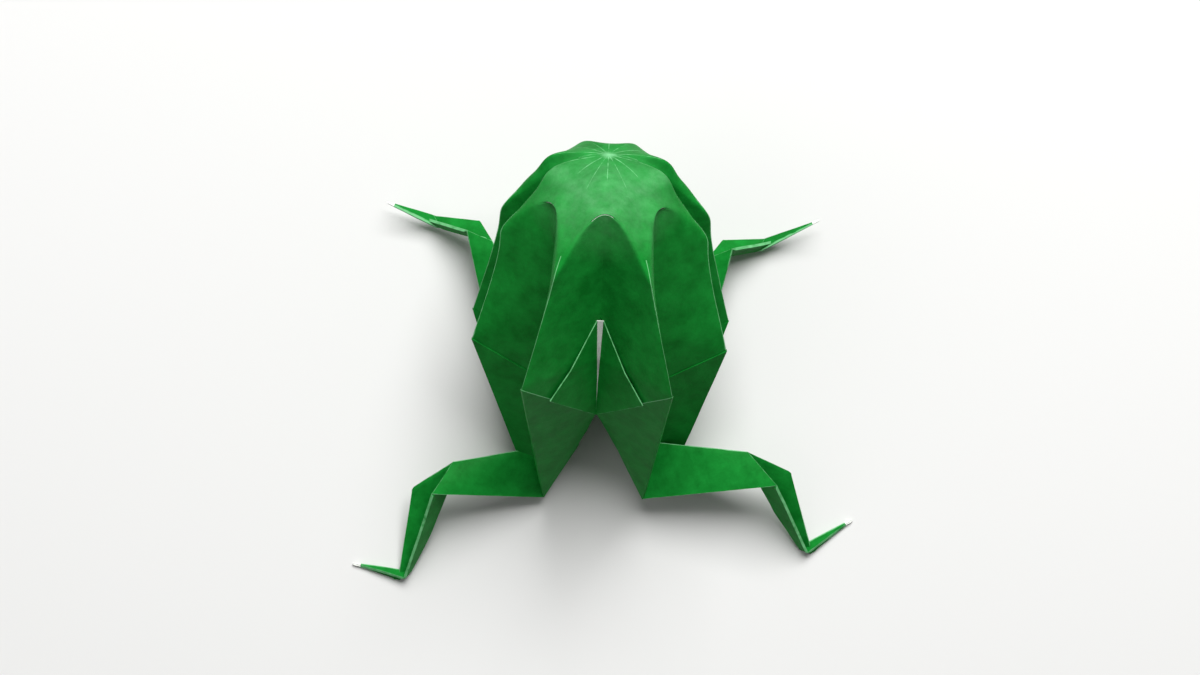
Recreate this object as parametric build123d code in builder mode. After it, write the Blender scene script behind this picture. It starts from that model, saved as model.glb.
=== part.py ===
"""Origami frog, folded from one square sheet of paper and puffed up.

The body is a hollow paper balloon with eight ridges that run from the nose to eight corners.
Between the ridges the sheet folds inwards: four grooves lie along the middle lines of the sheet,
and four gussets along its diagonals. Behind the corners the sheet goes on as four long flaps, each
folded in half along a diagonal, and these are the legs. Every bend in a leg is an inside reverse
fold. The frog stands on the plane Z = 0, with its nose towards +Y and its back upwards.
"""

from build123d import *
import os
from math import acos, asin, atan2, cos, degrees, radians, sin, sqrt

# The sheet, in millimetres
sheet_side = 150
paper = 0.2
leg_layers = 0.45
flap_layers = 0.3
overlap = 0.05
settling_steps = 100

# How the puffed body stands and opens, in millimetres and degrees
body_tilt = 31
nose_to_crown = 7.8
crown_rise = 15
nose_to_back_shoulder = 17.4
nose_to_shoulder = 15.2
back_groove_start = 12.5
side_groove_start = 8
belly_groove_start = 8.8
gusset_start = 11
petal_lift = 0.7
petal_slit = 1.3
petal_tuck = 0.15
stem_place = 0.3

# Angles of the four ridges on one side of the body: round the body from its back, and away from its axis
back_ridge = ((21.7, 62.5), (52, 17))
upper_side_ridge = ((78.7, 57.6), (109, 14.2))
lower_side_ridge = ((101, 60.2), (125, 16))
belly_ridge = ((155, 61.2), (135.3, 25.5))
back_gusset_angles = (47, 69)
belly_gusset_angles = (130, 69)

# Angle at which the folded edges behind each pair of corners dip towards the tail
back_dip = 50
side_dip = 51
belly_dip = 42

# Where the legs are folded, as shares of a leg's length; what is left is the stem at the body
thigh_share = 0.345
shin_share = 0.31
foot_share = 0.145
arm_share = 0.538
forearm_share = 0.135
hand_share = 0.169
hind_stem_height = 7.75
arm_stem_height = 7.3
elbow_height = 4.8
wrist_height = 1.1

# Directions of each leg's parts: outwards from straight back, with upwards where it is chosen, in degrees
left_hind_leg = ((0, -48), (86, 0), 21.4, (88, 0))
right_hind_leg = ((12, -48), (95, 8), 31, (109, 0))
left_front_leg = (8, 154.2, 109, (109, 10))
right_front_leg = (8, 155, 102, (121, 7))

# How far the two sides of a leg are opened at its folds: (upper side, lower side), in degrees
hip_opening = (26, -4)
knee_opening = (43, -20)
ankle_opening = (60, None)
arm_hip_opening = (12, -3)
elbow_opening = (28, -15)
wrist_opening = (34, -8)

# Fold lengths that follow from the square
half_side = sheet_side / 2
diagonal = half_side * sqrt(2)
ridge_length = diagonal * sin(radians(11.25)) / sin(radians(146.25))
corner_to_valley = ridge_length * sin(radians(22.5))
petal_depth = half_side * (1 - sqrt(0.5))
leg_length = petal_depth / sin(radians(22.5))
flap_edge = leg_length - ridge_length
nose_to_petal = half_side * (sqrt(2) - 1)
tail_to_petal = diagonal - leg_length - nose_to_petal
tail_to_window = tail_to_petal * sqrt(0.5)


def direction(angles, side=1):
    """Unit vector in the body's own axes, for (round the body, away from its axis)."""
    around, away = radians(angles[0]), radians(angles[1])
    return Vector(side * sin(away) * sin(around), sin(away) * cos(around), cos(away))


def heading(angles, side):
    """Unit vector for (outwards from straight back, upwards)."""
    outward, upward = radians(angles[0]), radians(angles[1])
    return Vector(side * sin(outward) * cos(upward), -cos(outward) * cos(upward), sin(upward))


def ridge(side, shoulder_length, angles):
    """Crown, shoulder and corner of one ridge, whose crown is where it rounds over from the nose."""
    around, away = angles[0]
    crown = direction((around, away + crown_rise), side) * nose_to_crown
    shoulder = direction((around, away), side) * shoulder_length
    corner = shoulder + direction(angles[1], side) * (ridge_length - shoulder_length)
    return crown, shoulder, corner


def between(corner_a, corner_b, reach, dip=90):
    """Point that lies a given reach from two corners, turned from straight in towards the tail."""
    middle = (corner_a + corner_b) / 2
    across = (corner_b - corner_a).normalized()
    outward = Vector(middle.X, middle.Y, 0)
    inward = (across * outward.dot(across) - outward).normalized()
    along = inward.cross(across)
    along = along * (1 if along.Z > 0 else -1)
    depth = sqrt(reach**2 - (corner_b - middle).length ** 2)
    return middle + (inward * sin(radians(dip)) + along * cos(radians(dip))) * depth


def reverse_fold(spine, before, after, to_tip, openings):
    """Ends of the two creases that an inside reverse fold makes, from the spine to the open edges."""
    middle = (before + after).normalized()
    normal = before.cross(after).normalized()
    normal = normal * (1 if normal.Z > 0 else -1)
    ends = []
    for opening in openings:
        turn = atan2(-middle.Z, normal.Z) if opening is None else radians(opening)
        crease = middle * cos(turn) + normal * sin(turn)
        spine_angle = acos(crease.dot(before))
        length = to_tip * sin(radians(11.25)) / sin(radians(168.75) - spine_angle)
        ends.append(spine + crease * length)
    return ends


def edges_of(triangle):
    """The three directed edges of a triangle."""
    return list(zip(triangle, triangle[1:] + triangle[:1]))


def facing_alike(triangles):
    """The same joined triangles, each listed so that all of them face the same side of the sheet."""
    alike = [triangles[0]]
    waiting = list(triangles[1:])
    known = set(edges_of(triangles[0]))
    while waiting:
        triangle = next(t for t in waiting if any(e in known or e[::-1] in known for e in edges_of(t)))
        waiting.remove(triangle)
        if any(edge in known for edge in edges_of(triangle)):
            triangle = triangle[::-1]
        known.update(edges_of(triangle))
        alike.append(triangle)
    return alike


def settle(wanted):
    """Shift whose part along each given direction comes as near as it can to the wanted distance."""
    shift = Vector(0, 0, 0)
    for _ in range(settling_steps):
        change = Vector(0, 0, 0)
        for along, distance in wanted:
            change += along * (distance - along.dot(shift))
        shift += change * (1 / len(wanted))
    return shift


def thick_sheet(panels, thickness, widening=0):
    """Solid of one folded layer, mitred at the edges that its flat three-cornered panels share."""
    triangles = facing_alike([tuple(tuple(point) for point in panel) for panel in panels])
    edges = [edge for triangle in triangles for edge in edges_of(triangle)]
    rim = [edge for edge in edges if edge[::-1] not in edges]
    off, outwards = {}, {}
    for triangle in triangles:
        first, second, third = (Vector(*point) for point in triangle)
        normal = (second - first).cross(third - first).normalized()
        for point in triangle:
            off.setdefault(point, []).append((normal, thickness / 2))
            outwards.setdefault(point, []).append((normal, 0))
        for edge in edges_of(triangle):
            if edge in rim:
                away = (Vector(*edge[1]) - Vector(*edge[0])).cross(normal).normalized()
                for point in edge:
                    outwards[point].append((away, widening))
    above, below = {}, {}
    for point in off:
        middle = Vector(*point) + (settle(outwards[point]) if widening else Vector(0, 0, 0))
        shift = settle(off[point])
        above[point], below[point] = middle + shift, middle - shift
    faces = [[above[point] for point in triangle] for triangle in triangles]
    faces += [[below[point] for point in triangle[::-1]] for triangle in triangles]
    for first, second in rim:
        faces.append([above[second], above[first], below[first]])
        faces.append([above[second], below[first], below[second]])
    return Solid(Shell([Face(Wire.make_polygon(face)) for face in faces]))


def bulge(nose, crown, shoulder, corner, valley_start, valley_floor):
    """Panels from the nose over one shoulder to one corner, on one side of its ridge."""
    return [
        (nose, crown, valley_start),
        (valley_start, crown, shoulder),
        (valley_start, shoulder, corner),
        (valley_start, corner, valley_floor),
    ]


def petal_layers(corners, ends, start, floor, tail):
    """The petal over one groove: two outer halves with a slit between them, and the layer inside."""
    groove = (floor - start).normalized()
    across = (corners[1] - corners[0]).normalized()
    outward = across.cross(groove)
    outward = outward * (1 if outward.dot(corners[0] - floor) > 0 else -1)
    tip = start + groove * (nose_to_petal - start.length) + outward * petal_lift
    inner_tip = tip - outward * 2 * paper
    windows = [tail + (corner - tail) * (tail_to_window / flap_edge) for corner in corners]
    layers = [[(inner_tip, window, tail) for window in windows]]
    for window, end, sign in zip(windows, ends, (-1, 1)):
        tucked = window + (end - window) * petal_tuck
        layers.append([(tip + across * sign * petal_slit / 2, tucked, tail)])
    return layers


def leg_fold(side, start, parts, shares, openings):
    """Spine points of a leg from its stem to its tip, and the two crease ends at each fold."""
    lengths = [leg_length * share for share in (1 - sum(shares), *shares)]
    directions = [heading(angles, side) for angles in parts]
    spine = [start]
    creases = []
    for index, (part, length) in enumerate(zip(directions, lengths)):
        spine.append(spine[-1] + part * length)
        if index < len(openings):
            to_tip = sum(lengths[index + 1 :])
            creases.append(reverse_fold(spine[-1], part, directions[index + 1], to_tip, openings[index]))
    return spine, creases


def stem_sides(spine, ends, corners):
    """Panels of both sides of a leg's stem, from the body's corners to its first fold."""
    panels = []
    for corner, end in zip(corners, ends):
        panels += [(corner, spine[0], end), (spine[0], spine[1], end)]
    return panels


def limb_sides(spine, creases):
    """Panels of both sides of a leg, from its first fold to its last."""
    panels = []
    for ends in zip(*creases):
        for number in range(1, len(ends)):
            panels.append((spine[number], spine[number + 1], ends[number - 1]))
            panels.append((spine[number + 1], ends[number], ends[number - 1]))
    return panels


def slope(drop, length):
    """Upward angle, in degrees, of a leg part that comes down by a given drop over its length."""
    return -degrees(asin(drop / length))


# The ridges, in the body's own axes with the nose at their origin
ridges = {}
for side in (-1, 1):
    ridges["back", side] = ridge(side, nose_to_back_shoulder, back_ridge)
    ridges["upper", side] = ridge(side, nose_to_shoulder, upper_side_ridge)
    ridges["lower", side] = ridge(side, nose_to_shoulder, lower_side_ridge)
    ridges["belly", side] = ridge(side, nose_to_shoulder, belly_ridge)

# Every groove and gusset lies between two ridges: their names, where it starts, and its tail's dip
petal_faces = {
    "back": (("back", -1), ("back", 1), direction((0, 80.7)) * back_groove_start, back_dip),
    "left": (("upper", -1), ("lower", -1), direction((90, 90), -1) * side_groove_start, side_dip),
    "right": (("upper", 1), ("lower", 1), direction((90, 90)) * side_groove_start, side_dip),
    "belly": (("belly", -1), ("belly", 1), direction((180, 72)) * belly_groove_start, belly_dip),
}
gussets = {}
for side in (-1, 1):
    back_start = direction(back_gusset_angles, side) * gusset_start
    belly_start = direction(belly_gusset_angles, side) * gusset_start
    gussets["hind", side] = ("back", side), ("upper", side), back_start
    gussets["front", side] = ("lower", side), ("belly", side), belly_start

# The body's points, turned into world axes that still have their origin at the nose
body = Plane(origin=(0, 0, 0), x_dir=(1, 0, 0), z_dir=heading((0, -body_tilt), 1))
crowns = {key: body.from_local_coords(crown) for key, (crown, shoulder, corner) in ridges.items()}
shoulders = {key: body.from_local_coords(shoulder) for key, (crown, shoulder, corner) in ridges.items()}
corners = {key: body.from_local_coords(corner) for key, (crown, shoulder, corner) in ridges.items()}
starts = {}
floors = {}
tails = {}
for name, (first, second, start, dip) in petal_faces.items():
    floor = between(ridges[first][-1], ridges[second][-1], corner_to_valley)
    tail = between(ridges[first][-1], ridges[second][-1], flap_edge, dip)
    starts[name] = body.from_local_coords(start)
    floors[name] = body.from_local_coords(floor)
    tails[name] = body.from_local_coords(tail)
for name, (first, second, start) in gussets.items():
    floor = between(ridges[first][-1], ridges[second][-1], corner_to_valley)
    starts[name] = body.from_local_coords(start)
    floors[name] = body.from_local_coords(floor)

# The hind legs carry the body: their soles on the table set how high the nose is
side_names = {-1: "left", 1: "right"}
hind_shares = (thigh_share, shin_share, foot_share)
hind_openings = (hip_opening, knee_opening, ankle_opening)
legs = {}
for side, (stem, thigh, shin, foot) in ((-1, left_hind_leg), (1, right_hind_leg)):
    hip = tails["back"] + (tails[side_names[side]] - tails["back"]) * stem_place
    knee_height = hind_stem_height + leg_length * thigh_share * sin(radians(thigh[1]))
    shin_slope = slope(knee_height - leg_layers / 2, leg_length * shin_share)
    parts = (stem, thigh, (shin, shin_slope), foot)
    legs["hind", side] = leg_fold(side, hip, parts, hind_shares, hind_openings)
nose_height = leg_layers / 2 - legs["hind", 1][0][-2].Z

# The front legs come down from the belly to the table
front_shares = (arm_share, forearm_share, hand_share)
front_openings = (arm_hip_opening, elbow_opening, wrist_opening)
for side, (stem, arm, forearm, hand) in ((-1, left_front_leg), (1, right_front_leg)):
    hip = tails["belly"] + (tails[side_names[side]] - tails["belly"]) * stem_place
    stem_slope = slope(hip.Z + nose_height - arm_stem_height, leg_length * (1 - sum(front_shares)))
    arm_slope = slope(arm_stem_height - elbow_height, leg_length * arm_share)
    forearm_slope = slope(elbow_height - wrist_height, leg_length * forearm_share)
    parts = ((stem, stem_slope), (arm, arm_slope), (forearm, forearm_slope), hand)
    legs["front", side] = leg_fold(side, hip, parts, front_shares, front_openings)

# The eight bulges, on both sides of every ridge, and the sheet behind them
nose = Vector(0, 0, 0)
balloon = []
for name, (first, second, *rest) in (petal_faces | gussets).items():
    for key in (first, second):
        ridge_points = (crowns[key], shoulders[key], corners[key])
        balloon += bulge(nose, *ridge_points, starts[name], floors[name])
        if name in tails:
            balloon.append((corners[key], floors[name], tails[name]))

# The legs, the flaps that lie over their stems, and the petals over the grooves
stems = []
limbs = []
feet = []
flaps = []
wing_ends = {}
for (pair, side), (first, second, start) in gussets.items():
    spine, creases = legs[pair, side]
    wing_ends[first], wing_ends[second] = creases[0]
    leg_corners = (corners[first], corners[second])
    side_tail = tails[side_names[side]]
    leg_tails = (tails["back"], side_tail) if pair == "hind" else (side_tail, tails["belly"])
    balloon += [(corner, floors[pair, side], spine[0]) for corner in leg_corners]
    stems.append(stem_sides(spine, creases[0], leg_corners))
    limbs.append(limb_sides(spine, creases))
    feet.append([(spine[-2], spine[-1], end) for end in creases[-1]])
    for corner, tail, end in zip(leg_corners, leg_tails, creases[0]):
        flaps.append([(corner, tail, end), (tail, spine[1], end)])
petals = []
for name, (first, second, *rest) in petal_faces.items():
    ends = (wing_ends[first], wing_ends[second])
    petals += petal_layers((corners[first], corners[second]), ends, starts[name], floors[name], tails[name])

# The folded layers, with the nose still at the origin
layers = [thick_sheet(panels, leg_layers) for panels in limbs]
layers += [thick_sheet(panels, leg_layers, widening=overlap) for panels in stems + feet]
layers += [thick_sheet(panels, flap_layers, widening=flap_layers / 2) for panels in flaps]
layers += [thick_sheet(panels, paper, widening=paper / 2) for panels in petals]
layers.append(thick_sheet(balloon, paper, widening=paper / 2))

# The layers joined into one sheet that stands on the table, its middle at X = Y = 0
bounds = [layer.bounding_box() for layer in layers]
middle_x = (min(box.min.X for box in bounds) + max(box.max.X for box in bounds)) / 2
middle_y = (min(box.min.Y for box in bounds) + max(box.max.Y for box in bounds)) / 2
stand = Location((-middle_x, -middle_y, nose_height))
with BuildPart() as folded_sheet:
    for layer in layers:
        add(layer.moved(stand))
    # The table presses the folds at the ankles flat
    split(bisect_by=Plane.XY, keep=Keep.TOP)

folded_sheet.part.label = "folded_sheet"
os.makedirs("parts", exist_ok=True)
export_step(folded_sheet.part, "parts/folded_sheet.step")
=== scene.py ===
# %% [markdown]
# # A puffed-up origami frog
# The frog is one square of paper, green outside and white inside. It is folded flat into a frog base, its
# legs are bent, and its body is then blown up through the opening at the tail. It could be sculpted as a
# lump with four legs, but paper doesn't stretch, and the eye sees at once when a fold has a wrong length.
# So this notebook works out the folds first, from the square, and then makes the flat panels between
# them soft and thin. It dresses a CAD frame that stands in the same place, with the same axes.

# %% Load the CAD frame
import bpy
import bmesh
import numpy
from collections import Counter
from math import acos, asin, atan2, cos, degrees, radians, sin, sqrt
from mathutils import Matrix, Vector
from mathutils.geometry import intersect_line_line


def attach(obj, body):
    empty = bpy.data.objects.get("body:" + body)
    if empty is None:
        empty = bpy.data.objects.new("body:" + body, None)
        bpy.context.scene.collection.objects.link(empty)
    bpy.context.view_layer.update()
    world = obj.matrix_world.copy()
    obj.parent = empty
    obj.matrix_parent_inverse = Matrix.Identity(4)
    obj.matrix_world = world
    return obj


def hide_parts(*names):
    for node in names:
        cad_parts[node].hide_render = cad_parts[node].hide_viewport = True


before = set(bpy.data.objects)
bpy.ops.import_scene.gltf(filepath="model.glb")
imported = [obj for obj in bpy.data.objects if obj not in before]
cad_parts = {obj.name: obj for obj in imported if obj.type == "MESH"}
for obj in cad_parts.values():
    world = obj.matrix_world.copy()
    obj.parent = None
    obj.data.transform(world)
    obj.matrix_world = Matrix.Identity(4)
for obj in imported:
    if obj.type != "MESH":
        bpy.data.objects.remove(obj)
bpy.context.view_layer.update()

# %% [markdown]
# ## The sheet and its fold lengths
# On the real frog every fold length is set by the side of the square. The lengths could be measured in
# the photograph one by one, but folds that lean towards the camera look short there, and the sheet would
# no longer close. In a frog base all angles come from one of 22.5 degrees, so a little trigonometry gives
# its ridges, flaps and petals from the side alone. Sizes are in millimetres until a mesh is made.

# %% Sizes of the sheet
# A millimetre in metres, and how many make a metre
mm = 0.001
per_metre = 1000

sheet_side = 150
fold_angle = 22.5
tip_angle = fold_angle / 2
half_side = sheet_side / 2
half_diagonal = half_side * sqrt(2)
ridge_length = half_diagonal * sin(radians(tip_angle)) / sin(radians(180 - fold_angle - tip_angle))
corner_to_valley = ridge_length * sin(radians(fold_angle))
leg_length = half_side * (1 - sqrt(0.5)) / sin(radians(fold_angle))
flap_edge = leg_length - ridge_length
nose_to_petal = half_side * (sqrt(2) - 1)
tail_to_window = (half_diagonal - leg_length - nose_to_petal) * sqrt(0.5)
print("ridge", round(ridge_length, 1), "leg", round(leg_length, 1), "flap edge", round(flap_edge, 1))

# %% [markdown]
# ## How this frog was puffed up
# The body is a balloon with eight ridges. Each ridge starts at the nose, rounds over at its crown, bends
# at a shoulder and ends in a corner, and between the ridges the paper dips into valleys. It could be a
# ball with grooves pressed in, but then the ridges would stretch. So the breath of air is given as
# angles: how far round the body a point lies, from the middle of the back, and how far it turns away from
# the body's axis. The two sides of the frog share them. `body_tilt` leans the axis down to the tail.

# %% Angles of the body
nose_place = Vector((-1.37, 28.95, 34.8))
body_tilt = 31

# Ridges: (around, away) of the stretch from the nose to the shoulder, then of the one to the corner
ridge_angles = {
    "back": ((21.7, 62.5), (52, 17)),
    "upper": ((78.7, 57.6), (109, 14.2)),
    "lower": ((101, 60.2), (125, 16)),
    "belly": ((155, 61.2), (135.3, 25.5)),
}
shoulder_at = {"back": 17.4, "upper": 15.2, "lower": 15.2, "belly": 15.2}
crown_at = 7.8
crown_rise = {"back": 15, "upper": 21, "lower": 21, "belly": 15}

# Valleys: (around, away) and distance of their starts; grooves also dip at the tail, gussets don't
groove_starts = {"back": ((0, 80.7), 12.5), "side": ((90, 80), 7.6), "belly": ((180, 72), 8.8)}
gusset_starts = {"hind": ((47, 69), 11), "front": ((130, 69), 11)}
valley_starts = groove_starts | gusset_starts

# Half-way from the nose to a valley's start the paper still bulges, and this is its brow
brow_share = 0.5
brow_rise = {"back": 4, "side": 0, "belly": 8, "hind": 9, "front": 9}
tail_dip = {"back": 50, "side": 51, "belly": 42}
print("ridges:", 2 * len(ridge_angles), "kinds of valley:", len(valley_starts))

# %% [markdown]
# ## How its legs were folded
# A leg is a narrow flap of folded paper with three bends: a stem comes out of the body, and then there
# are thigh, shin and foot, or arm, forearm and hand. Copying one leg four times would be quicker, but
# these were bent by hand and no two are alike. So each has its own shares of the leg's length and its own
# ways, as angles outwards from straight back and upwards. Where a part comes down to a given height, only
# the outward angle is given. The openings say how far the two layers spread at each bend, and the bows
# how far the pressed shins bulge.

# %% Angles of the legs
# Where a leg starts, as a share of the way from the middle groove's tail to the side groove's
stem_place = 0.3

# Half the thickness of a pressed leg
pressed_half = 0.225

# The frog's left leg is -1 and its right leg is 1
hind_legs = {
    -1: {
        "shares": (0.316, 0.317, 0.145),
        "ways": ((16.2, -65.2), (77.6, 6.2), 19.3, (95.3, 0)),
        "openings": ((32.5, 17.5), (40, -10), (60, None)),
    },
    1: {
        "shares": (0.333, 0.312, 0.15),
        "ways": ((24.2, -64.4), (87.4, 8.9), 31.8, (120.4, 0)),
        "openings": ((45.9, 5.2), (29.6, -10), (60, None)),
    },
}
front_legs = {
    -1: {
        "shares": (0.531, 0.147, 0.152),
        "ways": (11.7, 153.8, 103.2, (113.1, 12.4)),
        "heights": (5.0, 5.4, 1.7),
        "openings": ((12, -3), (37, -27.1), (-6.9, -38.2)),
    },
    1: {
        "shares": (0.514, 0.131, 0.176),
        "ways": (14.3, 156.1, 101.3, (119.9, 11.7)),
        "heights": (5.0, 4.4, 1.7),
        "openings": ((12, -3), (42.8, -30.5), (-10.6, -43.5)),
    },
}
# (pair of legs, side, part): (share along the part, bulge) of each point of its bow
bows = {("hind", -1, 2): ((0.28, 2.1), (0.77, 1.6)), ("hind", 1, 2): ((0.42, 1.7), (0.68, 1.9))}
print("parts per leg:", 1 + len(hind_legs[1]["shares"]))


# %% [markdown]
# ## Directions
# What the fingers and the breath decided is a direction, so angles are turned into unit vectors here.
# The body's points are easiest in the body's own axes, with the nose at the origin, and one function then
# leans them into the room. An empty with the body as its child would do that too, but plain vectors stay
# readable, and the paper's lengths can be checked at any step.

# %% Helpers for directions
def direction(angles, side=1):
    """Unit vector in the body's own axes: across, above, towards the tail."""
    around, away = radians(angles[0]), radians(angles[1])
    return Vector((side * sin(away) * sin(around), sin(away) * cos(around), cos(away)))


def heading(angles, side):
    """Unit vector in the room: outwards from straight back, and upwards."""
    outward, upward = radians(angles[0]), radians(angles[1])
    return Vector((side * sin(outward) * cos(upward), -cos(outward) * cos(upward), sin(upward)))


def room(point):
    """The body's own point in the room's axes, with the nose still at the origin."""
    tilt = radians(body_tilt)
    forwards = -point.y * sin(tilt) - point.z * cos(tilt)
    upwards = point.y * cos(tilt) - point.z * sin(tilt)
    return Vector((point.x, forwards, upwards))


def towards(vector, goal):
    """The vector or its opposite, whichever points more towards the goal."""
    return vector if vector.dot(goal) > 0 else -vector


print("the body's axis points", [round(value, 2) for value in room(Vector((0, 0, 1)))])


# %% [markdown]
# ## Meeting points
# What the paper then has to do follows from its lengths. A valley's end is as far from one corner as
# from the other, and the creases of an inside reverse fold are where the flap, turned inside out, meets
# itself. These points could be dragged into place by eye, but a rule gives them exactly, and it still
# holds when an angle of the body is changed.

# %% Helpers for meeting points
def between(a, b, reach, dip=90):
    """Point at a given reach from both corners, turned from straight inwards towards the tail."""
    middle = (a + b) / 2
    across = (b - a).normalized()
    outward = Vector((middle.x, middle.y, 0))
    inward = (across * outward.dot(across) - outward).normalized()
    along = towards(inward.cross(across), Vector((0, 0, 1)))
    depth = sqrt(reach**2 - (b - middle).length ** 2)
    return middle + (inward * sin(radians(dip)) + along * cos(radians(dip))) * depth


def reverse_fold(spine, before, after, to_tip, openings):
    """Ends of the two creases of an inside reverse fold; an opening of None keeps its crease level."""
    middle = (before + after).normalized()
    normal = towards(before.cross(after).normalized(), Vector((0, 0, 1)))
    ends = []
    for opening in openings:
        turn = atan2(-middle.z, normal.z) if opening is None else radians(opening)
        crease = middle * cos(turn) + normal * sin(turn)
        beyond = radians(180 - tip_angle) - acos(crease.dot(before))
        ends.append(spine + crease * (to_tip * sin(radians(tip_angle)) / sin(beyond)))
    return ends


def all_shares(shares):
    """Shares of a whole leg: the stem has what the other parts leave."""
    return (1 - sum(shares), *shares)


def leg_fold(side, hip, ways, shares, openings):
    """Spine points of a leg from its hip to its tip, and the crease ends at each of its folds."""
    lengths = [leg_length * share for share in all_shares(shares)]
    parts = [heading(way, side) for way in ways]
    spine = [hip]
    creases = []
    for number, (part, length) in enumerate(zip(parts, lengths)):
        spine.append(spine[-1] + part * length)
        if number < len(openings):
            to_tip = sum(lengths[number + 1:])
            creases.append(reverse_fold(spine[-1], part, parts[number + 1], to_tip, openings[number]))
    return spine, creases


def slope(drop, share):
    """Upward angle of a leg part that comes down by a given drop."""
    return -degrees(asin(drop / (leg_length * share)))


print("a hind shin slopes by", round(slope(8, 0.31)), "degrees when its knee is 8 mm up")

# %% [markdown]
# ## Points of the body
# A ridge is three points after the nose: its crown, its shoulder and its corner. A valley lies between
# two ridges and has a brow, a start and a floor, and a groove has a tail too, where the paper turns in
# under its petal. Dictionaries keep them by name, which reads better than numbers in a list: a ridge is
# its kind and its side, and so is a valley, apart from the two in the middle, which have only a kind.

# %% Points of the ridges
crowns = {}
shoulders = {}
corners_in_body = {}
for side in (-1, 1):
    for name, ((around, away), second) in ridge_angles.items():
        shoulder = direction((around, away), side) * shoulder_at[name]
        corners_in_body[name, side] = shoulder + direction(second, side) * (ridge_length - shoulder_at[name])
        crowns[name, side] = room(direction((around, away + crown_rise[name]), side) * crown_at)
        shoulders[name, side] = room(shoulder)
corners = {name: room(corner) for name, corner in corners_in_body.items()}
print(len(corners), "corners, the widest", round(max(corner.x for corner in corners.values()), 1), "mm out")

# %% Points of the valleys
neighbours = {"back": (("back", -1), ("back", 1)), "belly": (("belly", -1), ("belly", 1))}
for side in (-1, 1):
    neighbours["side", side] = (("upper", side), ("lower", side))
    neighbours["hind", side] = (("back", side), ("upper", side))
    neighbours["front", side] = (("lower", side), ("belly", side))


def kind_of(valley):
    """Kind of a valley, whose name holds its side too unless it lies in the middle."""
    return valley[0] if isinstance(valley, tuple) else valley


starts = {}
brows = {}
floors = {}
tails = {}
outwards = {}
for valley, (a, b) in neighbours.items():
    kind = kind_of(valley)
    side = b[1]
    (around, away), reach = valley_starts[kind]
    starts[valley] = room(direction((around, away), side) * reach)
    brows[valley] = room(direction((around, away + brow_rise[kind]), side) * (reach * brow_share))
    floors[valley] = room(between(corners_in_body[a], corners_in_body[b], corner_to_valley))
    if kind in tail_dip:
        tails[valley] = room(between(corners_in_body[a], corners_in_body[b], flap_edge, tail_dip[kind]))
        across = room(corners_in_body[b] - corners_in_body[a])
        outward = across.cross(floors[valley] - starts[valley]).normalized()
        outwards[valley] = towards(outward, corners[a] - floors[valley])
print(len(tails), "grooves,", len(floors) - len(tails), "gussets")

# %% [markdown]
# ## Points of the legs
# Each leg starts at its hip, between two groove tails, and its spine is the folded edge that one sees
# from above. The hind shins run down from the knee to the table. The front legs come down low over it,
# and their hands point up a little. The feet could be moved down until they look right, but then the leg
# would change its length. Here a height is given and the slope follows from it, so each foot lands.

# %% Points of the legs
def hind_leg(side):
    """Spine and creases of a hind leg, whose shin comes down from the knee to the table."""
    plan = hind_legs[side]
    stem, thigh, shin, foot = plan["ways"]
    stem_share, thigh_share, shin_share, _ = all_shares(plan["shares"])
    hip = tails["back"].lerp(tails["side", side], stem_place)
    stem_end = hip + heading(stem, side) * leg_length * stem_share
    knee_height = nose_place.z + stem_end.z + leg_length * thigh_share * sin(radians(thigh[1]))
    shin_way = (shin, slope(knee_height - pressed_half, shin_share))
    return leg_fold(side, hip, (stem, thigh, shin_way, foot), plan["shares"], plan["openings"])


def front_leg(side):
    """Spine and creases of a front leg, whose first three parts end at given heights."""
    plan = front_legs[side]
    stem, arm, forearm, hand = plan["ways"]
    hip = tails["belly"].lerp(tails["side", side], stem_place)
    heights = (hip.z + nose_place.z, *plan["heights"])
    drops = [above - below for above, below in zip(heights, heights[1:])]
    slopes = [slope(drop, share) for drop, share in zip(drops, all_shares(plan["shares"]))]
    ways = ((stem, slopes[0]), (arm, slopes[1]), (forearm, slopes[2]), hand)
    return leg_fold(side, hip, ways, plan["shares"], plan["openings"])


legs = {}
for side in (-1, 1):
    legs["hind", side] = hind_leg(side)
    legs["front", side] = front_leg(side)
print("tips at heights", [round(spine[-1].z + nose_place.z, 1) for spine, creases in legs.values()])


# %% [markdown]
# ## Panels and the notes on them
# Between two folds the paper is a flat panel, and where it is pressed firmly the fold is sharp and its
# colour cracks. All folds could be beveled by hand afterwards. Instead each layer of paper notes, while
# it is laid out, how sharp its folds are, which points are true corners and along which edges the colour
# has worn. Points that aren't corners round off later, and this makes the dome behind the nose.

# %% Helpers for panels
sharp_fold = 1.0
firm_fold = 0.8
easy_fold = 0.2
no_fold = 0.0

# How much narrower a worn line is on each side than on the most worn folds
worn_fold = 0.0
faint_fold = 0.055
unworn = None


def key(point):
    """The same name for the same place, whichever layer it is in."""
    return tuple(round(value, 4) for value in point)


def edge_key(a, b):
    """Name of the edge between two points, from either end."""
    return frozenset((key(a), key(b)))


def new_layer(kind, *panels):
    """A layer of one kind whose panels are given by their points."""
    notes = {"folds": {}, "lines": {}, "corners": {}, "tips": {}, "aims": {}}
    return {"kind": kind, "panels": list(panels), **notes}


def fold(layer, sharpness, line, *points):
    """Notes how sharp the folds along a line of points are, and how worn."""
    for a, b in zip(points, points[1:]):
        layer["folds"][edge_key(a, b)] = sharpness
        layer["lines"][edge_key(a, b)] = line


def keep_corners(layer, points):
    """Notes points that don't round off."""
    for point in points:
        layer["corners"][key(point)] = 1.0


def keep_all_corners(layer):
    """Notes that no point of a layer rounds off."""
    for panel in layer["panels"]:
        keep_corners(layer, panel)


print("a faint line is", faint_fold, "mm narrower on each side")

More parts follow.
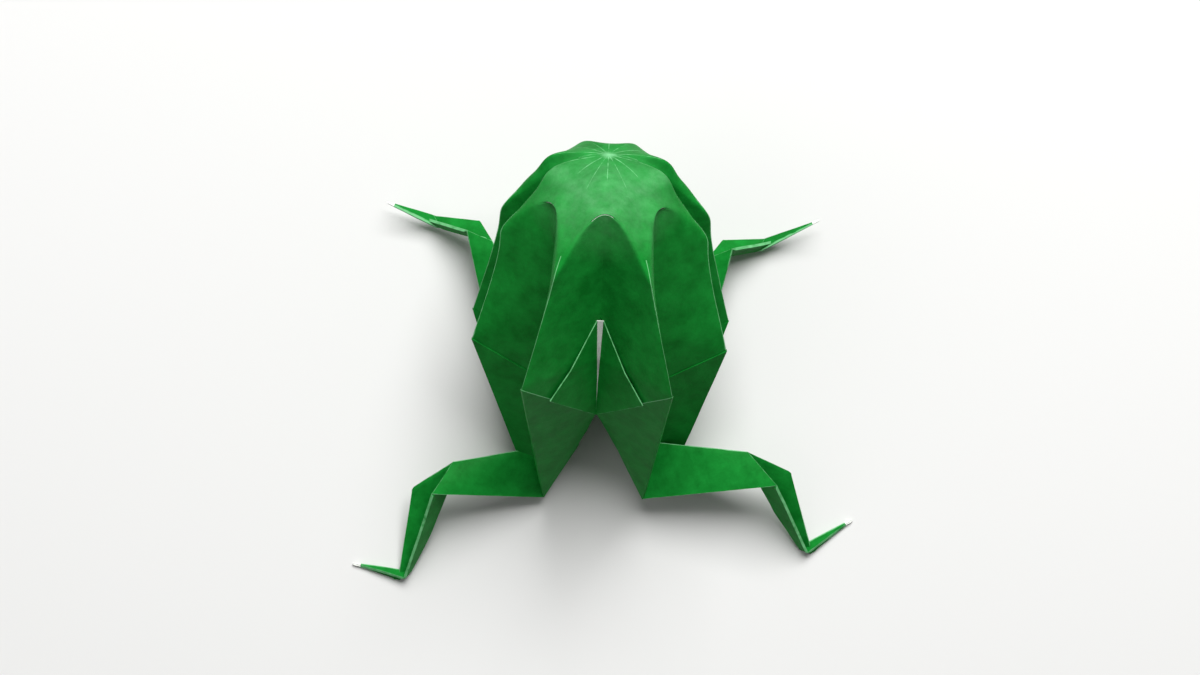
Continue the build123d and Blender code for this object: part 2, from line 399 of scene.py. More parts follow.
# %% [markdown]
# ## The balloon
# The blown-up body is eight strips of paper from the nose to the corners, each folded along its ridge.
# A sphere with creases would look much the same from above, but not from the side, where the strips end
# in flat triangles behind the corners. So each strip is built as its panels. Its bends get a point on
# both sides, and how far each is rounded off is a share: 0 keeps the bend, 1 cuts straight across it.

# %% Helpers for strips of paper
def strip_of_panels(rows):
    """Panels between rows of two points."""
    return [(a, c, d, b) for (a, b), (c, d) in zip(rows, rows[1:])]


def soft_bend(before, bend, after, reach):
    """A bend with a point on each side of it, so that it rounds off over that reach."""
    return bend + (before - bend).normalized() * reach, bend, bend + (after - bend).normalized() * reach


print("a strip of five rows has", len(strip_of_panels([(0, 1)] * 5)), "panels")

# %% Panels of the body
ridge_reach = 3
valley_reach = 2.4
ridge_cut = {"back": 0.25, "upper": 0.8, "lower": 1.0, "belly": 0.25}
valley_cut = {"back": 0.25, "belly": 0.25, "side": 1.0, "hind": 0.45, "front": 0.45}
valley_fold = {"back": 0.3, "belly": 0.3, "side": 0.5, "hind": 0.5, "front": 0.5}
balloon = new_layer("body")
nose = Vector((0, 0, 0))
balloon["aims"][key(nose)] = nose
for valley, ridge_pair in neighbours.items():
    kind = kind_of(valley)
    brow, floor = brows[valley], floors[valley]
    verge, start, dip = soft_bend(brow, starts[valley], floor, valley_reach)
    end = tails[valley] if valley in tails else legs[valley][0][0]
    fold(balloon, no_fold, faint_fold, nose, brow)
    fold(balloon, valley_fold[kind], unworn, start, dip)
    fold(balloon, firm_fold, unworn, dip, floor, end)
    balloon["aims"][key(brow)] = brow
    balloon["aims"][key(start)] = start.lerp((verge + dip) / 2, valley_cut[kind])
    for ridge in ridge_pair:
        crown, corner = crowns[ridge], corners[ridge]
        eave, shoulder, drop = soft_bend(crown, shoulders[ridge], corner, ridge_reach)
        fold(balloon, no_fold, faint_fold, nose, crown)
        fold(balloon, easy_fold, unworn, eave, shoulder)
        fold(balloon, sharp_fold, worn_fold, shoulder, drop, corner)
        fold(balloon, sharp_fold if valley in tails else no_fold, unworn, corner, floor)
        keep_corners(balloon, (corner, floor, end))
        balloon["aims"][key(crown)] = crown
        balloon["aims"][key(shoulder)] = shoulder.lerp((eave + drop) / 2, ridge_cut[ridge[0]])
        balloon["panels"].append((nose, crown, brow))
        rows = ((crown, brow), (eave, verge), (shoulder, start), (drop, dip), (corner, floor))
        balloon["panels"] += strip_of_panels(rows)
        balloon["panels"].append((corner, floor, end))
print(len(balloon["panels"]), "panels in the body")


# %% [markdown]
# ## The legs and their flaps
# Behind the corners the sheet goes on as four long flaps. Each is folded in half, so a leg is two strips
# of narrow panels that meet along its spine, and beside each stem a wide flap goes back up to the body.
# A leg could be a tapered box with bends, but its two layers gape where the paper springs open. So every
# part is two strips between the spine and the ends of its creases.

# %% Helpers for the legs
def bowed_strip(name, number, spine, creases, index):
    """Rows of points along a leg part, from its spine to its open edge, with the bulge of its bow."""
    open_edge = (creases[number - 1][index], creases[number][index])
    fold_middle = (creases[number - 1][0] + creases[number - 1][1]) / 2
    away = (spine[number] - fold_middle) * Vector((1, 1, 0))
    rows = [(spine[number], open_edge[0])]
    for share, bulge in bows.get((*name, number), ()):
        point = spine[number].lerp(spine[number + 1], share)
        rows.append((point + away.normalized() * bulge, open_edge[0].lerp(open_edge[1], share)))
    rows.append((spine[number + 1], open_edge[1]))
    return rows


def add_leg_side(limb, name, index):
    """Adds one layer of a leg's parts beyond its stem."""
    spine, creases = legs[name]
    for number in range(1, len(creases)):
        rows = bowed_strip(name, number, spine, creases, index)
        limb["panels"] += strip_of_panels(rows)
        fold(limb, sharp_fold, worn_fold, *[on_spine for on_spine, on_edge in rows])
        fold(limb, sharp_fold, faint_fold, *rows[-1])
    limb["panels"].append((spine[-2], spine[-1], creases[-1][index]))


print("bowed parts:", len(bows))

# %% Panels of the legs and flaps
layers = []
for name, (spine, creases) in legs.items():
    pair, side = name
    middle_tail = tails["back"] if pair == "hind" else tails["belly"]
    leg_tails = (middle_tail, tails["side", side]) if pair == "hind" else (tails["side", side], middle_tail)
    limb, stem = new_layer("leg"), new_layer("stem")
    fold(limb, sharp_fold, worn_fold, *spine[-2:])
    fold(stem, sharp_fold, worn_fold, *spine[:2])
    for index, (ridge, tail) in enumerate(zip(neighbours[name], leg_tails)):
        corner, stem_edge = corners[ridge], creases[0][index]
        stem["panels"] += [(corner, spine[0], stem_edge), (spine[0], spine[1], stem_edge)]
        add_leg_side(limb, name, index)
        flap = new_layer("flap", (corner, tail, stem_edge), (tail, spine[1], stem_edge))
        if pair == "hind" and tail == middle_tail:
            fold(flap, sharp_fold, worn_fold, corner, tail)
        layers.append(flap)
    layers += [limb, stem]
    for panel in limb["panels"]:
        for point in panel:
            limb["tips"][key(point)] = (point - spine[-1]).length
print(len(layers), "layers in the legs and flaps")

# %% [markdown]
# ## The petals
# In the middle of each groove a petal was folded up out of the sheet. Its two halves lie on the groove's
# walls, from a tip in the groove down to the tail, and where they part, the white inner side shows. The
# slit could be painted on, but up close it is a real gap. So each half is its own pair of panels, lifted
# a little off the wall, with a narrow white lining below the slit where the groove is open to view.

# %% Panels of the petals
petal_lift = 0.6
lining_lift = 0.55
lining_width = 1.0
petal_slits = {"back": 0.9, "belly": 0.9, "side": 0.2}
shut_petals = ("side",)
for valley, tail in tails.items():
    kind = kind_of(valley)
    start, floor = starts[valley], floors[valley]
    a, b = neighbours[valley]
    tip = start.lerp(floor, (nose_to_petal - start.length) / (floor - start).length)
    across = (corners[b] - corners[a]).normalized()
    lift = outwards[valley] * petal_lift
    top, middle, end = [point + outwards[valley] * lining_lift for point in (tip, floor, tail)]
    lining = new_layer("lining")
    for ridge, sign in ((a, -1), (b, 1)):
        aside = across * sign
        window = tail.lerp(corners[ridge], tail_to_window / flap_edge)
        rim = intersect_line_line(tip, window, floor, corners[ridge])[1]
        slit_top = tip + aside * petal_slits[kind] / 2
        slit_middle = floor + aside * petal_slits[kind] / 4
        upper = [point + lift for point in (slit_top, rim, slit_middle)]
        lower = [point + lift for point in (rim, window, tail, slit_middle)]
        petal = new_layer("petal", upper, lower)
        fold(petal, sharp_fold, faint_fold, slit_top + lift, rim + lift, window + lift)
        fold(petal, sharp_fold, unworn, rim + lift, slit_middle + lift)
        layers.append(petal)
        wide_top = top + aside * lining_width / 2
        wide_middle = middle + aside * lining_width / 4
        lining["panels"] += [(top, wide_top, wide_middle, middle), (middle, wide_middle, end)]
    if kind not in shut_petals:
        layers.append(lining)
for layer in layers:
    keep_all_corners(layer)
print(len(layers), "layers besides the body")


# %% [markdown]
# ## Paper
# Coloured folding paper is matt, with fine fibres and a slightly cloudy colour. Where it is folded its
# colour cracks to a pale line, where fingers wore it down it turns paler, and at the very tips the white
# inner side is out. Across the top of the dome a broad paleness is a painted highlight, where the light
# falls brightest. An image of paper would need a flat map of every layer, and pointiness would light up
# soft bends too. So the pattern is noise in object space, and the lines read how far each point is from a
# worn fold, which is kept on the mesh: they stay sharp and follow the folds.

# %% Helpers for node trees
def feed(tree, socket, value):
    """Links a socket to another one, or sets it to a value."""
    if isinstance(value, bpy.types.NodeSocket):
        tree.links.new(value, socket)
    else:
        socket.default_value = value


def node(tree, kind, **values):
    """Adds a node and feeds its inputs by name, with _ for a space."""
    made = tree.nodes.new(kind)
    for name, value in values.items():
        feed(tree, made.inputs[name.replace("_", " ")], value)
    return made


def maths(tree, operation, *values):
    """Adds a maths node and gives its result."""
    made = tree.nodes.new("ShaderNodeMath")
    made.operation = operation
    for socket, value in zip(made.inputs, values):
        feed(tree, socket, value)
    return made.outputs[0]


def blend(tree, amount, a, b):
    """Adds a colour mix from a to b and gives its result."""
    made = tree.nodes.new("ShaderNodeMix")
    made.data_type = "RGBA"
    sockets = {socket.identifier: socket for socket in (*made.inputs, *made.outputs)}
    feed(tree, sockets["Factor_Float"], amount)
    feed(tree, sockets["A_Color"], a)
    feed(tree, sockets["B_Color"], b)
    return sockets["Result_Color"]


def attribute(tree, name, output="Fac"):
    """Adds a node that reads a value kept on the mesh."""
    made = tree.nodes.new("ShaderNodeAttribute")
    made.attribute_name = name
    return made.outputs[output]


print("node helpers ready")

# %% Patterns of the paper
# Scale, detail and roughness of each
patterns = {
    "clouds": (320, 6, 0.7),
    # patches of wear, and of the painted highlight on the dome
    "wear_and_highlight_patches": (700, 5, 0.7),
    "line widths": (900, 3, 0.5),
    "fibres": (2600, 4, 0.6),
    "swells": (170, 3, 0.5),
}


def pattern(tree, name):
    """Adds noise that is fixed to the object."""
    scale, detail, roughness = patterns[name]
    place = tree.nodes.new("ShaderNodeTexCoord").outputs["Object"]
    made = node(tree, "ShaderNodeTexNoise", Vector=place, Scale=scale, Detail=detail, Roughness=roughness)
    return made.outputs["Fac"]


print("patterns of the paper:", list(patterns))

# %% [markdown]
# ## Wear and fibres
# A crease cracks the colour, most in its middle and unevenly along its length. Lines made as thin meshes
# would look like thread laid on top. Here the distance to a fold is divided by a noisy width, so that the
# line frays at its edges. Fibres are too fine to model, so they only bend the light, through a bump.

# %% Wear and fibres
line_width = 0.2
line_contrast = 1.3
line_limit = 0.8
# The palest that wear and the painted highlight on the dome make the paper
wear_and_highlight_limit = 0.6
fibre_share = 0.15
bump_strength = 0.3
bump_height = 0.0006


def worn_lines(tree):
    """How pale a worn fold makes the paper, out to an uneven width on each side."""
    distances = attribute(tree, "to_folds", "Vector")
    first, second, third = node(tree, "ShaderNodeSeparateXYZ", Vector=distances).outputs
    nearest = maths(tree, "MINIMUM", maths(tree, "MINIMUM", first, second), third)
    width = maths(tree, "MULTIPLY", pattern(tree, "line widths"), line_width)
    line = maths(tree, "SUBTRACT", 1.0, maths(tree, "DIVIDE", nearest, width))
    line = maths(tree, "MULTIPLY", maths(tree, "MAXIMUM", line, 0.0), line_contrast)
    return maths(tree, "MINIMUM", line, line_limit)


def wear_and_highlight_patches(tree):
    """How pale the paper is where fingers wore it, and where a highlight is painted on the dome, in fine
    patches.
    """
    wear_and_highlight = maths(tree, "MULTIPLY", attribute(tree, "wear_and_highlight"), pattern(tree, "wear_and_highlight_patches"))
    return maths(tree, "MINIMUM", wear_and_highlight, wear_and_highlight_limit)


def fibre_bump(tree):
    """Fine fibres on slow swells."""
    fibres = maths(tree, "MULTIPLY", pattern(tree, "fibres"), fibre_share)
    height = maths(tree, "ADD", fibres, pattern(tree, "swells"))
    bump = node(tree, "ShaderNodeBump", Strength=bump_strength, Distance=bump_height, Height=height)
    return bump.outputs["Normal"]


print("a worn line reaches up to", line_width, "mm from its fold")

# %% [markdown]
# ## The two sides of the paper
# The green and the white side are the same paper in another colour. Two separate materials could drift
# apart, so one function makes both from three colours: darker clouds, lighter clouds and a pale colour for
# worn folds, worn places and the painted highlight on the dome. It shines very little, because a stronger
# shine would wash out the green.

# %% Paper material
cloud_range = (0.3, 0.7)
white_tip_length = 1.2
bare_white = (0.8, 0.82, 0.78, 1)


def paper_material(name, dark, light, worn):
    """Matt cloudy paper with fibres, pale worn folds, a painted highlight on the dome and white tips."""
    made = bpy.data.materials.new(name)
    made.use_nodes = True
    tree = made.node_tree
    surface = tree.nodes["Principled BSDF"]
    surface.inputs["Roughness"].default_value = 0.5
    surface.inputs["Specular IOR Level"].default_value = 0.05
    cloudy = node(
        tree, "ShaderNodeMapRange",
        Value=pattern(tree, "clouds"), From_Min=cloud_range[0], From_Max=cloud_range[1],
    )
    colour = blend(tree, cloudy.outputs[0], dark, light)
    # The worn colour goes both where fingers wore the paper and on the dome as a painted highlight
    colour = blend(tree, wear_and_highlight_patches(tree), colour, worn)
    colour = blend(tree, worn_lines(tree), colour, worn)
    white_tip = maths(tree, "LESS_THAN", attribute(tree, "to_tip"), white_tip_length)
    colour = blend(tree, white_tip, colour, bare_white)
    tree.links.new(colour, surface.inputs["Base Color"])
    tree.links.new(fibre_bump(tree), surface.inputs["Normal"])
    return made


green = paper_material("Green paper", (0.002, 0.13, 0.012, 1), (0.008, 0.24, 0.03, 1), (0.2, 0.56, 0.26, 1))
white = paper_material("White paper", (0.55, 0.58, 0.54, 1), (0.7, 0.72, 0.68, 1), bare_white)
print("materials:", green.name, "and", white.name)


# %% [markdown]
# ## One node tree for all the paper
# Every layer is paper of some thickness: softly bent between its folds, never quite flat, and closed at
# its rim. Solidify and Subdivision Surface modifiers on each layer could do much of this, but their
# settings would be spread over 27 objects. One Geometry Nodes tree holds the steps once. It divides the
# panels but keeps their folds, makes them uneven, moves them by half a thickness to both sides, closes
# the rim and gives the inside its own material. Its sizes are inputs, which each kind of layer sets.

# %% First steps of the tree: soft and uneven
wave_scale = 90.0
wave_detail = 2.0


def soft_panels(tree, given):
    """The panels after soft division, with their folds and corners kept."""
    sharpness = node(tree, "GeometryNodeInputNamedAttribute", Name="fold").outputs["Attribute"]
    strength = node(tree, "GeometryNodeInputNamedAttribute", Name="corner").outputs["Attribute"]
    divided = node(
        tree, "GeometryNodeSubdivisionSurface",
        Mesh=given["Geometry"], Level=given["Level"], Edge_Crease=sharpness, Vertex_Crease=strength,
    )
    return divided.outputs[0]


def inner_side(tree, given, soft):
    """The inner side of the paper: half a thickness in, and a little uneven."""
    wave = node(tree, "ShaderNodeTexNoise", Scale=wave_scale, Detail=wave_detail).outputs["Fac"]
    wave = maths(tree, "MULTIPLY", maths(tree, "SUBTRACT", wave, 0.5), given["Unevenness"])
    half = maths(tree, "MULTIPLY", given["Thickness"], 0.5)
    shift = tree.nodes.new("ShaderNodeVectorMath")
    shift.operation = "SCALE"
    tree.links.new(tree.nodes.new("GeometryNodeInputNormal").outputs[0], shift.inputs[0])
    tree.links.new(maths(tree, "SUBTRACT", wave, half), shift.inputs["Scale"])
    return node(tree, "GeometryNodeSetPosition", Geometry=soft, Offset=shift.outputs[0]).outputs[0]


print("waves in the paper:", round(per_metre / wave_scale, 1), "mm")

# %% Next steps: two sides and a rim
same_place = 1e-7


def marked_inside(tree, inner):
    """The inner side turned over and marked, so that it faces inwards and can be painted apart."""
    marked = tree.nodes.new("GeometryNodeStoreNamedAttribute")
    marked.data_type = "BOOLEAN"
    marked.domain = "FACE"
    marked.inputs["Name"].default_value = "inside"
    marked.inputs["Value"].default_value = True
    tree.links.new(node(tree, "GeometryNodeFlipFaces", Mesh=inner).outputs[0], marked.inputs[0])
    return marked.outputs[0]


def closed_sheet(tree, given, inner):
    """Both sides of the paper and the rim between them as one smooth mesh."""
    outer = node(
        tree, "GeometryNodeExtrudeMesh", Mesh=inner, Offset_Scale=given["Thickness"], Individual=False
    )
    both = tree.nodes.new("GeometryNodeJoinGeometry")
    tree.links.new(marked_inside(tree, inner), both.inputs[0])
    tree.links.new(outer.outputs[0], both.inputs[0])
    closed = node(tree, "GeometryNodeMergeByDistance", Geometry=both.outputs[0], Distance=same_place)
    return node(tree, "GeometryNodeSetShadeSmooth", Geometry=closed.outputs[0]).outputs[0]


print("two points closer than", same_place, "m become one")


# %% Last step: real faces and paint
def painted(tree, given, sheet):
    """The sheet as real faces, with a material for each side."""
    inside = tree.nodes.new("GeometryNodeInputNamedAttribute")
    inside.data_type = "BOOLEAN"
    inside.inputs["Name"].default_value = "inside"
    real = node(tree, "GeometryNodeRealizeInstances", Geometry=sheet).outputs[0]
    paint = node(tree, "GeometryNodeSetMaterial", Geometry=real, Material=given["Outside"]).outputs[0]
    paint = node(
        tree, "GeometryNodeSetMaterial",
        Geometry=paint, Material=given["Inside"], Selection=inside.outputs["Attribute"],
    )
    return paint.outputs[0]


print("materials for the two sides: Outside and Inside")

# %% The paper tree
tree_inputs = {
    "Geometry": "NodeSocketGeometry",
    "Level": "NodeSocketInt",
    "Thickness": "NodeSocketFloat",
    "Unevenness": "NodeSocketFloat",
    "Outside": "NodeSocketMaterial",
    "Inside": "NodeSocketMaterial",
}


def paper_tree():
    """Geometry nodes that turn flat panels into soft paper."""
    tree = bpy.data.node_groups.new("Soft paper", "GeometryNodeTree")
    tree.interface.new_socket("Geometry", in_out="OUTPUT", socket_type="NodeSocketGeometry")
    for name, socket_type in tree_inputs.items():
        tree.interface.new_socket(name, in_out="INPUT", socket_type=socket_type)
    given = tree.nodes.new("NodeGroupInput").outputs
    result = tree.nodes.new("NodeGroupOutput").inputs[0]
    inner = inner_side(tree, given, soft_panels(tree, given))
    tree.links.new(painted(tree, given, closed_sheet(tree, given, inner)), result)
    return tree


soft_paper = paper_tree()
identifiers = {
    item.name: item.identifier
    for item in soft_paper.interface.items_tree
    if item.in_out == "INPUT"
}
print("inputs of the tree:", list(identifiers))

# %% [markdown]
# ## Kinds of layer
# The body is one layer of paper, a flap is two pressed together and a leg is more, so they differ in
# thickness, and the legs, which were handled most, are a little more uneven. Each kind could have its own
# tree, but a kind is no more than its inputs, so a small table will do.

# %% Kinds of paper layer
division_level = 4
one_layer = 0.16 * mm
flap_layers = 0.24 * mm
leg_layers = 0.4 * mm
quite_flat = 0.3 * mm
handled = 0.5 * mm


def kind_settings(thickness, unevenness, outside, inside):
    """Inputs of the paper tree for one kind of layer."""
    return {
        "Level": division_level,
        "Thickness": thickness,
        "Unevenness": unevenness,
        "Outside": outside,
        "Inside": inside,
    }


kinds = {
    "body": kind_settings(one_layer, quite_flat, green, white),
    "petal": kind_settings(one_layer, quite_flat, green, green),
    "lining": kind_settings(one_layer, quite_flat, white, white),
    "flap": kind_settings(flap_layers, quite_flat, green, green),
    "leg": kind_settings(leg_layers, handled, green, green),
    "stem": kind_settings(leg_layers, quite_flat, green, green),
}
print("kinds of layer:", list(kinds))


# %% [markdown]
# ## Control meshes
# A control mesh holds a layer's few flat panels, and the notes on folds, corners, tips and worn lines go
# on it as attributes. Dense meshes could be made at once, but creases are easy to note on two hundred
# edges and hard on fifty thousand. A worn line is kept as a distance at the corners of each panel,
# because it fades over a fraction of a millimetre.

# %% Helpers for control meshes
far_away = 100.0
worn_rims = ("leg", "petal")
body_middle = Vector((0, -0.022, -0.012))


def sides_of(panel):
    """Pairs of neighbouring points round a panel."""
    return zip(panel, panel[1:] + panel[:1])


def numbered(panels):
    """All points of the panels once, and their numbers by key."""
    points = []
    numbers = {}
    for panel in panels:
        for point in panel:
            if key(point) not in numbers:
                numbers[key(point)] = len(points)
                points.append(point)
    return points, numbers


def line_distances(layer, panel, panels_at):
    """For each point of a panel, its distances to up to three worn edges of that panel."""
    worn = []
    for a, b in sides_of(panel):
        at_rim = panels_at[edge_key(a, b)] == 1
        unnoted = faint_fold if at_rim and layer["kind"] in worn_rims else unworn
        line = layer["lines"].get(edge_key(a, b), unnoted)
        if line is not unworn:
            along = (b - a).normalized()
            worn.append([line + ((p - a) - along * (p - a).dot(along)).length for p in panel])
    worn = (worn + [[far_away] * len(panel)] * 3)[:3]
    return list(zip(*worn))


def face_outwards(mesh):
    """Turns all panels of a mesh to the same side, away from the middle of the body."""
    work = bmesh.new()
    work.from_mesh(mesh)
    bmesh.ops.recalc_face_normals(work, faces=work.faces)
    if sum(face.normal.dot(face.calc_center_median() - body_middle) for face in work.faces) < 0:
        bmesh.ops.reverse_faces(work, faces=work.faces)
    work.to_mesh(mesh)
    work.free()


print("paper rims that wear:", worn_rims)


# %% Control meshes
def note_lines(mesh, layer):
    """Keeps the distances to worn edges at the corners of each panel."""
    panels_at = Counter(edge_key(a, b) for panel in layer["panels"] for a, b in sides_of(panel))
    to_folds = mesh.attributes.new("to_folds", "FLOAT_VECTOR", "CORNER")
    for polygon, panel in zip(mesh.polygons, layer["panels"]):
        for loop, distances in zip(polygon.loop_indices, line_distances(layer, panel, panels_at)):
            to_folds.data[loop].vector = distances


def note_folds(mesh, layer, points, numbers):
    """Keeps how sharp the folds are, how firm the corners and how near the tips."""
    sharpness = mesh.attributes.new("fold", "FLOAT", "EDGE")
    for edge in mesh.edges:
        a, b = edge.vertices
        sharpness.data[edge.index].value = layer["folds"].get(edge_key(points[a], points[b]), no_fold)
    strength = mesh.attributes.new("corner", "FLOAT", "POINT")
    to_tip = mesh.attributes.new("to_tip", "FLOAT", "POINT")
    for name, number in numbers.items():
        strength.data[number].value = layer["corners"].get(name, 0.0)
        to_tip.data[number].value = layer["tips"].get(name, far_away)


def control_mesh(layer, moved=None):
    """Mesh of a layer's panels in metres; moved gives other places for some of its points."""
    points, numbers = numbered(layer["panels"])
    places = [(moved or {}).get(key(point), point) * mm for point in points]
    mesh = bpy.data.meshes.new(layer["kind"])
    mesh.from_pydata(places, [], [[numbers[key(point)] for point in panel] for panel in layer["panels"]])
    note_lines(mesh, layer)
    note_folds(mesh, layer, points, numbers)
    face_outwards(mesh)
    return mesh, points


print("layers to make:", 1 + len(layers))


# %% From a control mesh to paper
def softened(mesh, **settings):
    """The mesh after the paper tree with these inputs, as a plain mesh."""
    helper = bpy.data.objects.new("Helper", mesh)
    bpy.context.scene.collection.objects.link(helper)
    modifier = helper.modifiers.new("Soft paper", "NODES")
    modifier.node_group = soft_paper
    for name, value in settings.items():
        modifier[identifiers[name]] = value
    seen = helper.evaluated_get(bpy.context.evaluated_depsgraph_get())
    result = bpy.data.meshes.new_from_object(seen)
    bpy.data.objects.remove(helper)
    return result


print("each layer is divided", division_level, "times")

# %% [markdown]
# ## Blowing up the body
# Air pushes the paper out between its folds. A cloth simulation with pressure could do it, but it gives
# another frog after each change. Soft division alone rounds the panels well, yet it pulls them inwards,
# away from the points worked out above. So the control points are pushed out in a few rounds, each time
# by what the soft surface still misses, until it passes close to them.

# %% Body
fit_rounds = 6
fit_level = 2
moved = {}
for _ in range(fit_rounds):
    misses = []
    mesh, points = control_mesh(balloon, moved)
    soft = softened(mesh, Level=fit_level, Thickness=0.0, Unevenness=0.0)
    for vertex, point in zip(soft.vertices, points):
        if key(point) in balloon["aims"]:
            miss = balloon["aims"][key(point)] - vertex.co * per_metre
            moved[key(point)] = moved.get(key(point), point) + miss
            misses.append(miss.length)
body_mesh, points = control_mesh(balloon, moved)
paper = [softened(body_mesh, **kinds["body"])]
print("largest miss in the last round (mm):", round(max(misses), 3))

# %% [markdown]
# ## Legs, flaps and petals
# These layers were pressed flat with a fingernail, so nothing is blown up: their corners are all kept,
# and only their faces wave a little. The same tree makes them, with the inputs of their kind.

# %% Legs, flaps and petals
for layer in layers:
    mesh, points = control_mesh(layer)
    paper.append(softened(mesh, **kinds[layer["kind"]]))
print(len(paper), "layers of paper")

# %% [markdown]
# ## Joining the layers
# The frog is one sheet, so its layers become one mesh with two materials, green and white. They could
# stay 27 objects under a parent, but one piece is simpler to carry about and stands for one CAD node.

# %% One frog
joined = bmesh.new()
for part in paper:
    is_green = [material == green for material in part.materials]
    first = len(joined.faces)
    joined.from_mesh(part)
    joined.faces.ensure_lookup_table()
    for face in joined.faces[first:]:
        face.material_index = 0 if is_green[face.material_index] else 1
frog_mesh = bpy.data.meshes.new("origami_frog")
joined.to_mesh(frog_mesh)
joined.free()
frog_mesh.materials.append(green)
frog_mesh.materials.append(white)
triangles = sum(len(face.vertices) - 2 for face in frog_mesh.polygons)
print("frog:", triangles, "triangles")

# %% [markdown]
# ## Worn places and a painted highlight
# Behind the nose the paper was creased before it was blown up, and its colour is paler there: along two
# short lines beside the back groove's start, and in a small star at the very nose, where all folds meet.
# Between the back's crowns a broader, fainter paleness is a painted highlight, where the light falls
# brightest on the dome. Painting it by hand would tie it to this mesh. So each point gets a value from its
# distance to a few named lines, which the material turns into fine patches.

# %% Worn places and a painted highlight
# Ends of each line, how far the paleness reaches from it and how strong it is
wear_and_highlight_lines = [(starts["back"], crowns["upper", side], 2.6, 0.55) for side in (-1, 1)]
# The broad line between the back's crowns is a painted highlight on the dome
wear_and_highlight_lines.append((crowns["back", -1], crowns["back", 1], 10, 0.45))
star_peak = 1.6
star_fade = 0.35
places = numpy.array([vertex.co for vertex in frog_mesh.vertices]) * per_metre
wear_and_highlight = numpy.zeros(len(places))
for a, b, reach, strength in wear_and_highlight_lines:
    start, along = numpy.array(a), numpy.array(b - a)
    share = numpy.clip((places - start) @ along / (along @ along), 0, 1)
    apart = numpy.linalg.norm(places - start - share[:, None] * along, axis=1)
    wear_and_highlight = numpy.maximum(wear_and_highlight, strength * numpy.clip(1 - apart / reach, 0, 1))
star = star_peak - numpy.linalg.norm(places, axis=1) / star_fade
wear_and_highlight = numpy.maximum(wear_and_highlight, star)
frog_mesh.attributes.new("wear_and_highlight", "FLOAT", "POINT").data.foreach_set("value", wear_and_highlight)
print("rubbed points:", int((wear_and_highlight > 0).sum()))

# %% [markdown]
# ## Standing on the table
# Up to here the nose was the origin, which suits the folding. The real frog rests on its soles, so the
# whole mesh moves to the nose's place, and what would sink into the table is pressed flat on it, as the
# paper is. The object itself stays at the origin, unturned, because the materials read its coordinates.

# %% Stand the frog on the table
sharp_from = 40
for vertex in frog_mesh.vertices:
    vertex.co += nose_place * mm
    vertex.co.z = max(vertex.co.z, 0.0)
frog_mesh.set_sharp_from_angle(angle=radians(sharp_from))
frog = bpy.data.objects.new("origami_frog", frog_mesh)
bpy.context.scene.collection.objects.link(frog)
print("frog box (mm):", [round(value * per_metre, 1) for value in frog.dimensions])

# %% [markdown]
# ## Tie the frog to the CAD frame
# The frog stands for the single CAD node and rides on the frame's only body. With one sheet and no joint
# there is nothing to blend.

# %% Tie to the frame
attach(frog, "root")
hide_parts("folded_sheet")
print("tied to the frame")

# %% [markdown]
# ## Table
# The frog stands on something plain and pale, so that its outline and its shadow are easy to read. A
# curved backdrop is the studio's way, but the camera looks straight down, so one large square does.

# %% Table
table_half = 1.5
table_height = -0.0001
table_colour = (0.7, 0.7, 0.69, 1)
table_roughness = 0.8
table_mesh = bpy.data.meshes.new("Table")
square = ((-1, -1), (1, -1), (1, 1), (-1, 1))
table_corners = [(x * table_half, y * table_half, table_height) for x, y in square]
table_mesh.from_pydata(table_corners, [], [(0, 1, 2, 3)])
table = bpy.data.objects.new("Table", table_mesh)
bpy.context.scene.collection.objects.link(table)
table_paint = bpy.data.materials.new("Pale table")
table_paint.use_nodes = True
table_surface = table_paint.node_tree.nodes["Principled BSDF"].inputs
table_surface["Base Color"].default_value = table_colour
table_surface["Roughness"].default_value = table_roughness
table_mesh.materials.append(table_paint)
print("table made")


# %% [markdown]
# ## Light
# In the photograph one soft light comes from beyond the nose, so the dome is bright and the flaps at the
# tail are in shade. A sun lamp would cut hard shadows. A square lamp half a metre wide keeps them soft,
# a weak second one opens them from the left, and a dim world does the rest. The camera, and what shines
# or is clear, sees that world as white, without more light falling on the frog.

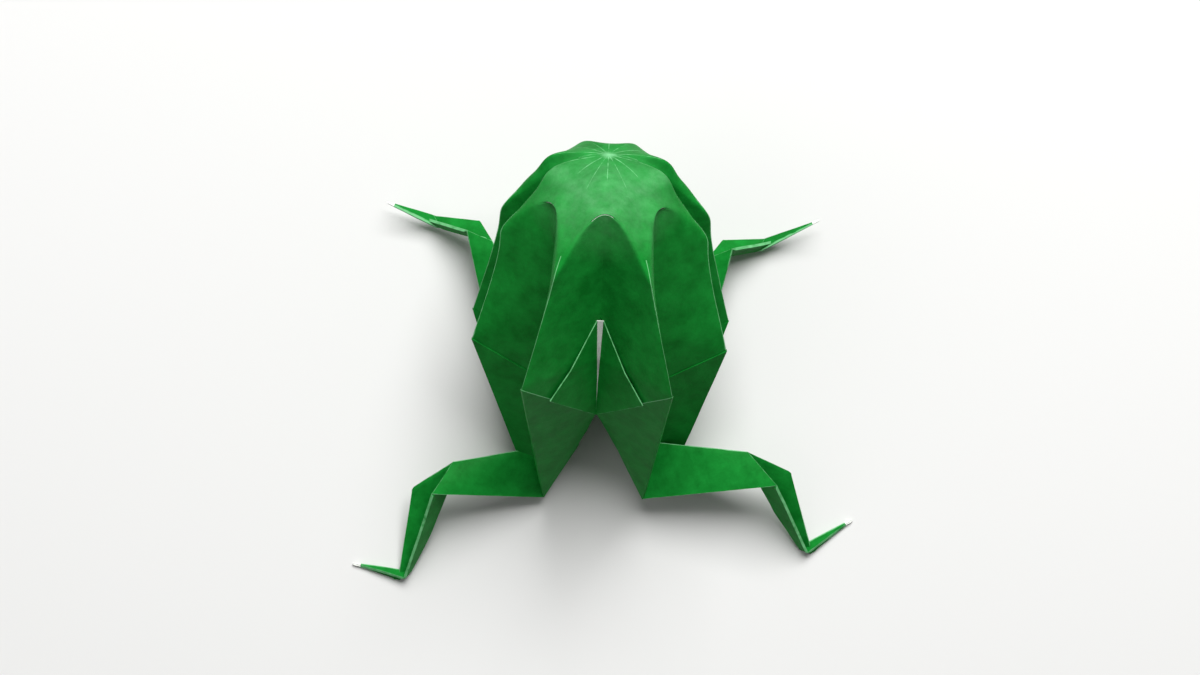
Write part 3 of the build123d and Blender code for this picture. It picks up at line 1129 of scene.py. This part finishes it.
# %% Lights
def area_light(name, place, target, width, power):
    """Soft square light that points at a target."""
    lamp = bpy.data.lights.new(name, "AREA")
    lamp.shape = "SQUARE"
    lamp.size = width
    lamp.energy = power
    made = bpy.data.objects.new(name, lamp)
    made.location = place
    made.rotation_euler = (Vector(target) - Vector(place)).to_track_quat("-Z", "Y").to_euler()
    bpy.context.scene.collection.objects.link(made)


frog_middle = (0, 0, 0.02)
area_light("Key light", (0.08, 0.46, 0.64), frog_middle, width=0.5, power=10)
area_light("Fill light", (-0.5, -0.1, 0.6), frog_middle, width=0.6, power=0.6)
print("lamps:", [lamp.name for lamp in bpy.data.lights])

# %% World
ambient = 0.12
world = bpy.data.worlds.new("Studio")
bpy.context.scene.world = world
world.use_nodes = True
sky = world.node_tree
rays = sky.nodes.new("ShaderNodeLightPath").outputs
seen = maths(sky, "MAXIMUM", rays["Is Camera Ray"], rays["Is Glossy Ray"])
seen = maths(sky, "MAXIMUM", seen, rays["Is Transmission Ray"])
background = sky.nodes["Background"]
background.inputs["Color"].default_value = (1, 1, 1, 1)
sky.links.new(maths(sky, "MULTIPLY_ADD", seen, 1 - ambient, ambient), background.inputs["Strength"])
print("the world gives", ambient, "of full light")

# %% [markdown]
# ## Camera
# The photograph was taken from straight above with the frog turned by a few degrees. The camera could be
# moved until the picture fits, but one known length is enough: how large a pixel is at the nose. With the
# nose's place in the picture it gives the focal length and where the camera stands.

# %% Camera
# Pixels across the picture, and the size of one at the height of the nose
picture_width = 1200
pixel = 0.0001356

turn = radians(2.8)
height_above_nose = 0.65

# Where the nose is seen from the middle of the picture
nose_right = 8.5 * pixel
nose_up = 182.5 * pixel
right = Vector((cos(turn), sin(turn), 0))
up = Vector((-sin(turn), cos(turn), 0))
lens = bpy.data.cameras.new("Camera")
lens.sensor_width = 36
lens.lens = lens.sensor_width * height_above_nose / (picture_width * pixel)
camera = bpy.data.objects.new("Camera", lens)
camera.location = nose_place * mm - right * nose_right - up * nose_up + Vector((0, 0, height_above_nose))
camera.rotation_euler = (0, 0, turn)
bpy.context.scene.collection.objects.link(camera)
bpy.context.scene.camera = camera
bpy.context.scene.view_settings.view_transform = "Standard"
print("camera at", [round(value, 3) for value in camera.location])
